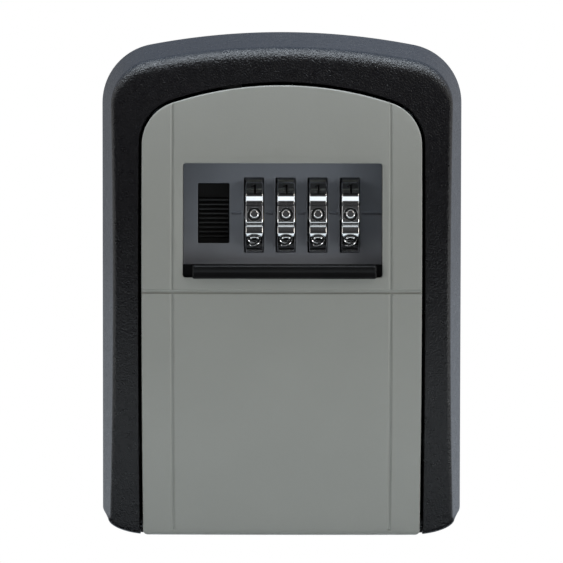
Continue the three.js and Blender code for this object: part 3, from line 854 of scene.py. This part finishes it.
slots = [rrect(x - 2.42, x + 2.20, -8.7, 8.7, 0.45, 5) for x in DIAL_X]
slots.append(rrect(-19.4, -12.1, -6.5, 7.42, 0.3, 5))
segs = [(-11.75, DIAL_X[0] - 2.75)] + [(DIAL_X[k] + 2.5, DIAL_X[k + 1] - 2.75) for k in range(3)] + [(DIAL_X[3] + 2.5, 24.0)]
lines = []
for a, c in segs:
    for t in (-0.40, -0.06, 0.06, 0.40):
        lines.append(((a, 0.50 + t), (c, 0.50 + t)))
    for e in (a, c):
        lines.append(((e, 0.10), (e, 0.90)))


def panel_fn(x, z):
    x, z = np.asarray(x, float), np.asarray(z, float)
    on = np.zeros(x.shape)
    for a, c in segs:
        on = np.maximum(on, np.clip(np.minimum(x - a, c - x) / 0.02 + 0.001, 0, 1))
    return index_line(x, z) * on


panel = lock_plate("lock_panel_plate", rrect(-24.0, 24.3, -13.4, 12.4, 0.3, 4), slots, 6.9, 8.1, 0.12, lines, panel_fn)
check(panel, "panel")
wheel_cut = [rod('X', 10.5, x - 2.43, x + 2.21, DIAL_AXIS, 0, 96, True) for x in DIAL_X]
boolean(panel, wheel_cut)
smooth(panel, 33)
piece(panel, "lock_panel_plate", "door", M_PANEL, "lock_panel")

# thumb slide: ribbed plate behind its slot
ribs = []
zz = -6.6
prof = [(8.95, -7.35), (8.95, -5.60)]
for k in range(9):
    c = -4.77 + k * 1.055
    for a in np.linspace(-0.5, 0.5, 9):
        prof.append((8.95 - 0.52 * math.cos(a * math.pi) ** 0.8, c + a * 1.055))
prof += [(8.95, 4.6), (8.95, 11.1), (9.05, 11.35), (10.2, 11.35), (10.2, -7.35)]
v = [(x, y, z) for x in (-19.1, -12.4) for y, z in prof]
m = len(prof)
f = [(i, (i + 1) % m, m + (i + 1) % m, m + i) for i in range(m)] + [tuple(range(m)), tuple(range(m, 2 * m))]
ts = clean(new_obj("thumb", [tuple(L2W @ Vector(p)) for p in v], f))
ts = joined([ts])
boolean(ts, [box(-20.1, -11.5, 9.1, 10.2, -7.4, 11.4, True), box(-18.6, -13.0, 10.1, 20.2, -1.5, 3.5, True)], 'UNION')
check(ts, "thumb")
smooth(ts, 50)
piece(ts, "thumb_slide_ribbed", "latch", M_SLIDE, "thumb_slide")

# shutter: curved plate with a rounded grip bar that laps over the door
plate = slab(1.35, 2.35, -22.6, 5.0, -24.5, 24.9, 30)
gx0, gx1 = -20.55, 21.8
prof = [(2.2, 2.35), (-0.25, 2.35), (-0.25, 1.8)]


def turn(cx, cz, r, a0, a1, n=7):
    return [(cx + r * math.cos(math.radians(a)), cz + r * math.sin(math.radians(a))) for a in np.linspace(a0, a1, n)]


# (depth below the door's face, z): lower lip, hollow front, rolled upper edge
prof += turn(-0.72, 2.22, 0.42, 270, 180)
prof += [(-1.10, 2.55), (-1.02, 3.05), (-1.06, 3.45), (-1.20, 3.72)]
prof += turn(-0.74, 4.24, 0.54, 165, 90, 9)
prof += [(2.2, 4.95)]
prof = [(-float(depth(z, o_)), z) for o_, z in prof]
m = len(prof)
cy, czz = np.mean([q_[0] for q_ in prof]), 3.3
v = []
ends = [(0.0, 0.62), (0.09, 0.36), (0.24, 0.14), (0.45, 0.0)]
for x, s_ in [(gx0 + a_, b_) for a_, b_ in ends] + [(gx1 - a_, b_) for a_, b_ in ends[::-1]]:
    for y, z in prof:
        front = y < prof[0][0] - 2.0
        v.append((x, y + (s_ if front else 0.0), z + s_ * 0.55 * (1 if z < czz else -1) * (1 if front else 0.4)))
f = []
for k in range(2 * len(ends) - 1):
    for i in range(m):
        j = (i + 1) % m
        f.append((k * m + i, k * m + j, (k + 1) * m + j, (k + 1) * m + i))
f += [tuple(range(m)), tuple(range((2 * len(ends) - 1) * m, 2 * len(ends) * m))]
grip = clean(new_obj("grip", v, f))
check(grip, "grip")
boolean(plate, [grip], 'UNION')
check(plate, "shutter")
smooth(plate, 40)
piece(plate, "shutter_curved", "shutter", M_BLACK, "shutter")
#@@END
#@@DIALS
# ------------------------------------------------------------------------ dials
PAD_A = math.radians(11.2)       # half angle of a pad's face
SIDE_R, EDGE_T = 0.34, 0.22      # rounding of a pad at the wheel's sides, and along its own edges
STROKE, LIP, SINK = 0.155, 0.31, 0.19


def ell(cx, cz, rx, rz, a0, a1, n=48):
    return [(cx + rx * math.cos(math.radians(a)), cz + rz * math.sin(math.radians(a))) for a in np.linspace(a0, a1, n)]


def bez(p0, p1, p2, n=24):
    return [tuple((1 - t) ** 2 * np.array(p0) + 2 * t * (1 - t) * np.array(p1) + t * t * np.array(p2)) for t in np.linspace(0, 1, n)]


DIGITS = {
    0: [ell(0, 0, 1.31, 1.30, 0, 360, 90)],
    1: [[(-0.52, 0.70), (0.12, 1.26), (0.12, -1.30)]],
    2: [[*ell(0, 0.44, 1.14, 0.86, 165, -28), (-1.14, -1.26), (1.18, -1.26)]],
    3: [ell(0, 0.64, 1.02, 0.64, 150, -90), ell(0, -0.64, 1.16, 0.64, 90, -155)],
    4: [[(0.55, -1.30), (0.55, 1.28), (-1.20, -0.52), (1.22, -0.52)]],
    5: [[(1.02, 1.28), (-0.86, 1.28), (-1.02, 0.16), *ell(0.02, -0.40, 1.14, 0.88, 140, -155)]],
    6: [ell(0, -0.46, 1.20, 0.84, 0, 360, 70), bez((0.80, 1.28), (-1.10, 1.20), (-1.20, -0.46))],
    7: [[(-1.14, 1.26), (1.16, 1.26), (-0.30, -1.30)]],
    8: [ell(0, 0.68, 0.98, 0.62, 0, 360, 60), ell(0, -0.60, 1.18, 0.68, 0, 360, 66)],
    9: [ell(0, 0.46, 1.20, 0.84, 0, 360, 70), bez((-0.80, -1.28), (1.10, -1.20), (1.20, 0.46))],
}


def stroke_dist(k, p):
    """Distance to digit k's centre line, stretched where the rounded lip is to be narrow."""
    r = np.full(len(p), 1e9)
    for line in DIGITS[k]:
        for a, b_ in zip(line, line[1:]):
            r = np.minimum(r, dist_to_seg(p, np.array(a, float), np.array(b_, float)))
    if k == 0:
        r = r - 0.085
    narrow = (3.2 if k == 1 else 1.35) if k else np.where(np.hypot(p[:, 0], p[:, 1]) > 1.3, 2.6, 1.0)
    return np.where(r < STROKE, r, STROKE + (r - STROKE) * narrow)


def contour(k, level, half_x, half_s, h=0.05, spacing=0.085):
    """Closed loops where the distance to digit k's centre line equals level."""
    xs, ss = np.arange(-half_x - h, half_x + 1.5 * h, h), np.arange(-half_s - h, half_s + 1.5 * h, h)
    X, S = np.meshgrid(xs, ss, indexing='ij')
    D = stroke_dist(k, np.stack([X.ravel(), S.ravel()], 1)).reshape(X.shape) - level
    link = {}

    def cross(i0, j0, i1, j1):
        a, c = D[i0, j0], D[i1, j1]
        t = a / (a - c)
        key = (i0, j0, i1, j1)
        pos[key] = (X[i0, j0] + t * (X[i1, j1] - X[i0, j0]), S[i0, j0] + t * (S[i1, j1] - S[i0, j0]))
        return key
    pos = {}
    for i in range(len(xs) - 1):
        for j in range(len(ss) - 1):
            q = [(i, j), (i + 1, j), (i + 1, j + 1), (i, j + 1)]
            g = [D[a] < 0 for a in q]
            if all(g) or not any(g):
                continue
            cr = []
            for a in range(4):
                b_ = (a + 1) % 4
                if g[a] != g[b_]:
                    lo_, hi_ = sorted((q[a], q[b_]))
                    cr.append(cross(*lo_, *hi_))
            pairs = [(cr[0], cr[1])] if len(cr) == 2 else [(cr[0], cr[3]), (cr[1], cr[2])]
            for u, w_ in pairs:
                link.setdefault(u, []).append(w_)
                link.setdefault(w_, []).append(u)
    loops, seen = [], set()
    for start in sorted(link):
        if start in seen:
            continue
        lp, cur, prev = [], start, None
        while cur is not None and cur not in seen:
            seen.add(cur)
            lp.append(pos[cur])
            nx = [w_ for w_ in link[cur] if w_ not in seen]
            prev, cur = cur, (nx[0] if nx else None)
        lp = np.array(lp)
        seg = np.linalg.norm(np.diff(np.vstack([lp, lp[:1]]), axis=0), axis=1)
        if seg.sum() < 0.25:
            continue
        n = max(8, int(seg.sum() / spacing))
        t = np.concatenate([[0], np.cumsum(seg)])
        u = np.linspace(0, t[-1], n, endpoint=False)
        cl = np.vstack([lp, lp[:1]])
        loops.append(np.stack([np.interp(u, t, cl[:, 0]), np.interp(u, t, cl[:, 1])], 1))
    return loops


def lip_height(d):
    u = np.clip((d - STROKE) / LIP, 0, 1)
    return np.where(d < STROKE - 1e-3, -SINK - 0.10, -SINK * (1 - u) ** 1.6)


def pad_section():
    """Half section of a pad and the flank beside it: (s, r, on_top) from the pad's centre outwards."""
    top_end = PAD_A - EDGE_T / DIAL_R
    pts = [(DIAL_R * math.sin(a), DIAL_R * math.cos(a), True) for a in np.linspace(0, top_end, 9)]
    corner = np.array([DIAL_R * math.sin(PAD_A), DIAL_R * math.cos(PAD_A)])
    s0 = math.radians(61)
    pb = corner + EDGE_T * np.array([math.cos(s0), -math.sin(s0)])
    pa = np.array(pts[-1][:2])
    for t in (0.2, 0.4, 0.6, 0.8, 1.0):
        v_ = (1 - t) ** 2 * pa + 2 * t * (1 - t) * corner + t * t * pb
        pts.append((v_[0], v_[1], False))
    cur, n = np.array(pb), 6
    for i in range(n):
        a = math.radians(61 - 7 * (i + 0.5) / n)
        cur = cur + 1.17 / n * np.array([math.cos(a), -math.sin(a)])
        pts.append((cur[0], cur[1], False))
    return pts


def dial_mesh():
    """Turned wheel with ten rounded pads and sunk digits, about the X axis at the origin."""
    hw = DIAL_W / 2
    half = pad_section()
    sec = [(-s, r, t) for s, r, t in half[:0:-1]] + half
    m_ = len(sec)
    ang, rad, top = [], [], []
    for i in range(10):
        for s, r, t in sec:
            ang.append(math.radians(36 * i) + math.atan2(s, r))
            rad.append(math.hypot(s, r))
            top.append(t)
        ang.append(math.radians(36 * i + 18))
        rad.append(math.hypot(*half[-1][:2]) - 0.03)
        top.append(False)
    ang, rad, top = np.array(ang), np.array(rad), np.array(top)
    n = len(ang)
    st = [(-hw + SIDE_R * (1 - math.cos(a)), SIDE_R * (1 - math.sin(a))) for a in np.linspace(0, math.pi / 2, 6)]
    inner = np.linspace(-hw + SIDE_R, hw - SIDE_R, 15)
    st += [(x, 0.0) for x in inner[1:]]
    st += [(-x, i_) for x, i_ in st[4::-1]]
    ring = lambda x, r: np.column_stack([np.full(n, x), -r * np.cos(ang), r * np.sin(ang)])
    left = [ring(-hw, 2.8), ring(-hw, 5.0), ring(-hw + 0.25, 5.4), ring(-hw + 0.25, 7.6), ring(-hw, 8.2)]
    right = [ring(hw, 8.2), ring(hw - 0.25, 7.6), ring(hw - 0.25, 5.4), ring(hw, 5.0), ring(hw, 2.8)]
    loops = left + [ring(x, rad - i_) for x, i_ in st] + right
    verts = np.concatenate(loops)
    faces, idx = [], []
    c0, c1 = len(left) + 5, len(left) + 5 + len(inner) - 1          # stations that bound the pads' faces
    for k in range(len(loops)):
        k2 = (k + 1) % len(loops)
        for i in range(n):
            j = (i + 1) % n
            if c0 <= k < c1 and top[i] and top[j]:
                continue
            faces.append((k * n + i, k * n + j, k2 * n + j, k2 * n + i))
            idx.append(0)
    verts = [tuple(v_) for v_ in verts]
    tops = [j for j in range(m_) if sec[j][2]]
    for d_ in range(10):
        th = math.radians(36 * d_)
        rows = [d_ * (m_ + 1) + j for j in tops]
        rim = [(k, rows[0]) for k in range(c0, c1)] + [(c1, r_) for r_ in rows[:-1]] + \
              [(k, rows[-1]) for k in range(c1, c0, -1)] + [(c0, r_) for r_ in rows[:0:-1]]
        pts, edges = [], []
        for k, r_ in rim:
            x = loops[k][r_][0]
            pts.append((x, (ang[r_] - th) * DIAL_R))
        outer = np.array(pts)
        q_ = len(pts)
        edges += [(i, (i + 1) % q_) for i in range(q_)]
        hx, hs = outer.max(0)
        grid_keep = []
        for level in (STROKE - 0.012, STROKE + 0.004, STROKE + LIP * 0.25, STROKE + LIP * 0.55, STROKE + LIP):
            for lp in contour(d_, level, hx - 0.04, hs - 0.04):
                keep = (np.abs(lp[:, 0]) < hx - 0.02) & (np.abs(lp[:, 1]) < hs - 0.02)
                if not keep.all():
                    lp = np.column_stack([np.clip(lp[:, 0], -hx + 0.03, hx - 0.03), np.clip(lp[:, 1], -hs + 0.03, hs - 0.03)])
                b_ = len(pts)
                pts += [tuple(v_) for v_ in lp]
                edges += [(b_ + i, b_ + (i + 1) % len(lp)) for i in range(len(lp))]
        gx, gs = np.meshgrid(np.arange(-hx + 0.15, hx - 0.1, 0.2), np.arange(-hs + 0.15, hs - 0.1, 0.2))
        g = np.stack([gx.ravel(), gs.ravel()], 1)
        dd = stroke_dist(d_, g)
        g = g[(dd > STROKE + LIP + 0.06)]
        pts += [tuple(v_) for v_ in g]
        v2, _, f2, _, _, _ = delaunay_2d_cdt([Vector(p_) for p_ in pts], edges, [], 1, 1e-5)
        va = np.array([[p_.x, p_.y] for p_ in v2])
        fa = np.array([f_ for f_ in f2 if len(f_) == 3])
        cen = va[fa].mean(1)
        fa = fa[inside(cen, outer)]
        cen = va[fa].mean(1)
        # the black fill is the digits' print; for the digit 1 it also covers the rounded lip beside the stroke,
        # painted shade where the chrome would catch a glint
        ink_and_shade = stroke_dist(d_, cen) < STROKE + (LIP if d_ == 1 else -0.004)
        dv = stroke_dist(d_, va)
        on_rim = dist_to_loop(va, outer) < 1e-4
        h_ = np.where(on_rim, 0.0, lip_height(dv))
        if d_ == 0:
            rad_ = np.hypot(va[:, 0], va[:, 1])
            h_ = np.where(rad_ < 1.0, h_ - 0.07 * (rad_ / 0.83) ** 2, h_)
        base = len(verts)
        a_ = th + va[:, 1] / DIAL_R
        rr = DIAL_R + h_
        verts += list(zip(va[:, 0], -rr * np.cos(a_), rr * np.sin(a_)))
        faces += [tuple(base + int(i) for i in f_) for f_ in fa]
        idx += [1 if q2 else 0 for q2 in ink_and_shade]
    o = new_obj("dial", verts, faces, [M_CHROME, M_INK_AND_SHADE], idx)
    return clean(o, 3e-7)


dial = dial_mesh()
check(dial, "dial")
smooth(dial, 38, False)
for i, x in enumerate(DIAL_X):
    o = dial if i == 3 else dial.copy()
    o.data = dial.data.copy()
    if i != 3:
        COL.objects.link(o)
    mt = L2W @ Matrix.Translation((x, DIAL_AXIS, 0))
    mt.translation *= MM
    o.data.transform(mt)
    piece(o, f"dial_{i + 1}_numbered", f"dial_{i + 1}_wheel", None, f"dial_{i + 1}")
#@@END
#@@STAGE
# --------------------------------------------------------- floor, light, camera
sc = bpy.context.scene
sc.view_settings.view_transform = 'Standard'
sc.view_settings.look = 'None'
FLOOR = mat("floor", (0.84, 0.90, 0.93), 0.8)
floor = new_obj("floor", [(-1200, -1200, -320), (1200, -1200, -320), (1200, 1200, -320), (-1200, 1200, -320)], [(0, 1, 2, 3)], [FLOOR])
floor.visible_camera = False
w = bpy.data.worlds.new("studio")
sc.world = w
w.use_nodes = True
w.node_tree.nodes["Background"].inputs[0].default_value = (1, 1, 1, 1)
w.node_tree.nodes["Background"].inputs[1].default_value = 1.0


def card(name, loc, rot, sx, sy):
    c = new_obj(name, [(-sx, -sy, 0), (sx, -sy, 0), (sx, sy, 0), (-sx, sy, 0)], [(0, 1, 2, 3)], [mat(name, (0.01, 0.01, 0.01), 0.9)])
    c.location = loc
    c.rotation_euler = rot
    c.visible_camera = False
    return c


card("flag_top", (0, -0.30, 1.30), (0, 0, 0), 1350, 650)
card("flag_floor", (0, -0.06, -0.317), (0, 0, 0), 1190, 210)
card("flag_front", (0, -0.79, -0.316), (0, 0, 0), 1190, 150)


def area(name, loc, target, size, power, color=(1, 1, 1)):
    l = bpy.data.lights.new(name, 'AREA')
    l.shape = 'RECTANGLE'
    l.size, l.size_y = size
    l.energy = power
    l.color = color
    o = bpy.data.objects.new(name, l)
    COL.objects.link(o)
    o.location = loc
    d = Vector(target) - Vector(loc)
    o.rotation_euler = d.to_track_quat('-Z', 'Y').to_euler()
    o.visible_camera = False
    return o


area("top_soft", (0.0, -0.04, 1.0), (0, -0.02, 0), (1.1, 0.22), 1.2, (0.88, 0.94, 1.0))
area("edge_soft", (0.0, 0.095, 1.0), (0, 0.0, 0), (1.1, 0.16), 10.5, (0.84, 0.92, 1.0))
area("low_soft", (0.0, -0.40, -0.27), (0, 0, 0.01), (1.1, 0.22), 0.46, (0.965, 1.0, 0.985))
area("key_right", (0.66, -0.50, 0.85), (0, -0.02, 0.0), (0.35, 0.35), 1.4, (1.0, 0.95, 0.85))
area("key_left", (-0.66, -0.50, 0.85), (0, -0.02, 0.0), (0.35, 0.35), 0.5, (1.0, 0.95, 0.85))
area("fill_right", (0.85, -0.60, -0.18), (0, -0.02, 0.0), (0.35, 0.20), 1.9, (0.97, 1.0, 0.99))
area("fill_left", (-0.85, -0.60, -0.18), (0, -0.02, 0.0), (0.35, 0.20), 1.0, (0.97, 1.0, 0.99))


def glow(name, x0, x1, z0, z1, y, color, tilt=0.0):
    m = bpy.data.materials.new(name)
    m.use_nodes = True
    nt = m.node_tree
    nt.nodes.remove(nt.nodes["Principled BSDF"])
    e = nt.nodes.new("ShaderNodeEmission")
    e.inputs["Color"].default_value = (*color, 1)
    nt.links.new(e.outputs[0], nt.nodes["Material Output"].inputs["Surface"])
    c = new_obj(name, [(x0, y, z0), (x1, y, z0), (x1, y + tilt, z1), (x0, y + tilt, z1)], [(0, 1, 2, 3)], [m])
    c.visible_camera = False
    return c


glow("front_dim", -1350, 1350, -300, 1300, -950, (0.060, 0.060, 0.062))
glow("back_left_low", -1300, 0, -310, -90, 1250, (0.385, 0.42, 0.47))
glow("back_left", -1300, 0, -90, 620, 1250, (0.265, 0.285, 0.32))
glow("back_right_low", 0, 1300, -310, -90, 1250, (0.48, 0.53, 0.60))
glow("back_right", 0, 1300, -90, 620, 1250, (0.37, 0.40, 0.455))
glow("back_high", -1300, 1300, 620, 1300, 1250, (0.26, 0.34, 0.48), -310)
glow("back_top", -1300, 1300, 1300, 2600, 940, (0.56, 0.68, 0.84), -590)

cam_d = bpy.data.cameras.new("cam")
cam = bpy.data.objects.new("cam", cam_d)
COL.objects.link(cam)
sc.camera = cam
E = math.radians(3.86)
tgt = Vector((0, -0.017, 0))
cam.location = tgt + Vector((0, -math.cos(E), math.sin(E)))
q = (tgt - cam.location).to_track_quat('-Z', 'Y')
cam.rotation_euler = (q.to_matrix() @ Matrix.Rotation(math.radians(0.08), 3, 'Z')).to_euler()
cam_d.sensor_width = 36.0
cam_d.lens = 36.0 * 4285.5 / 563.0
cam_d.shift_x = -0.2 / 563
cam_d.clip_start = 0.01
cam_d.clip_end = 50
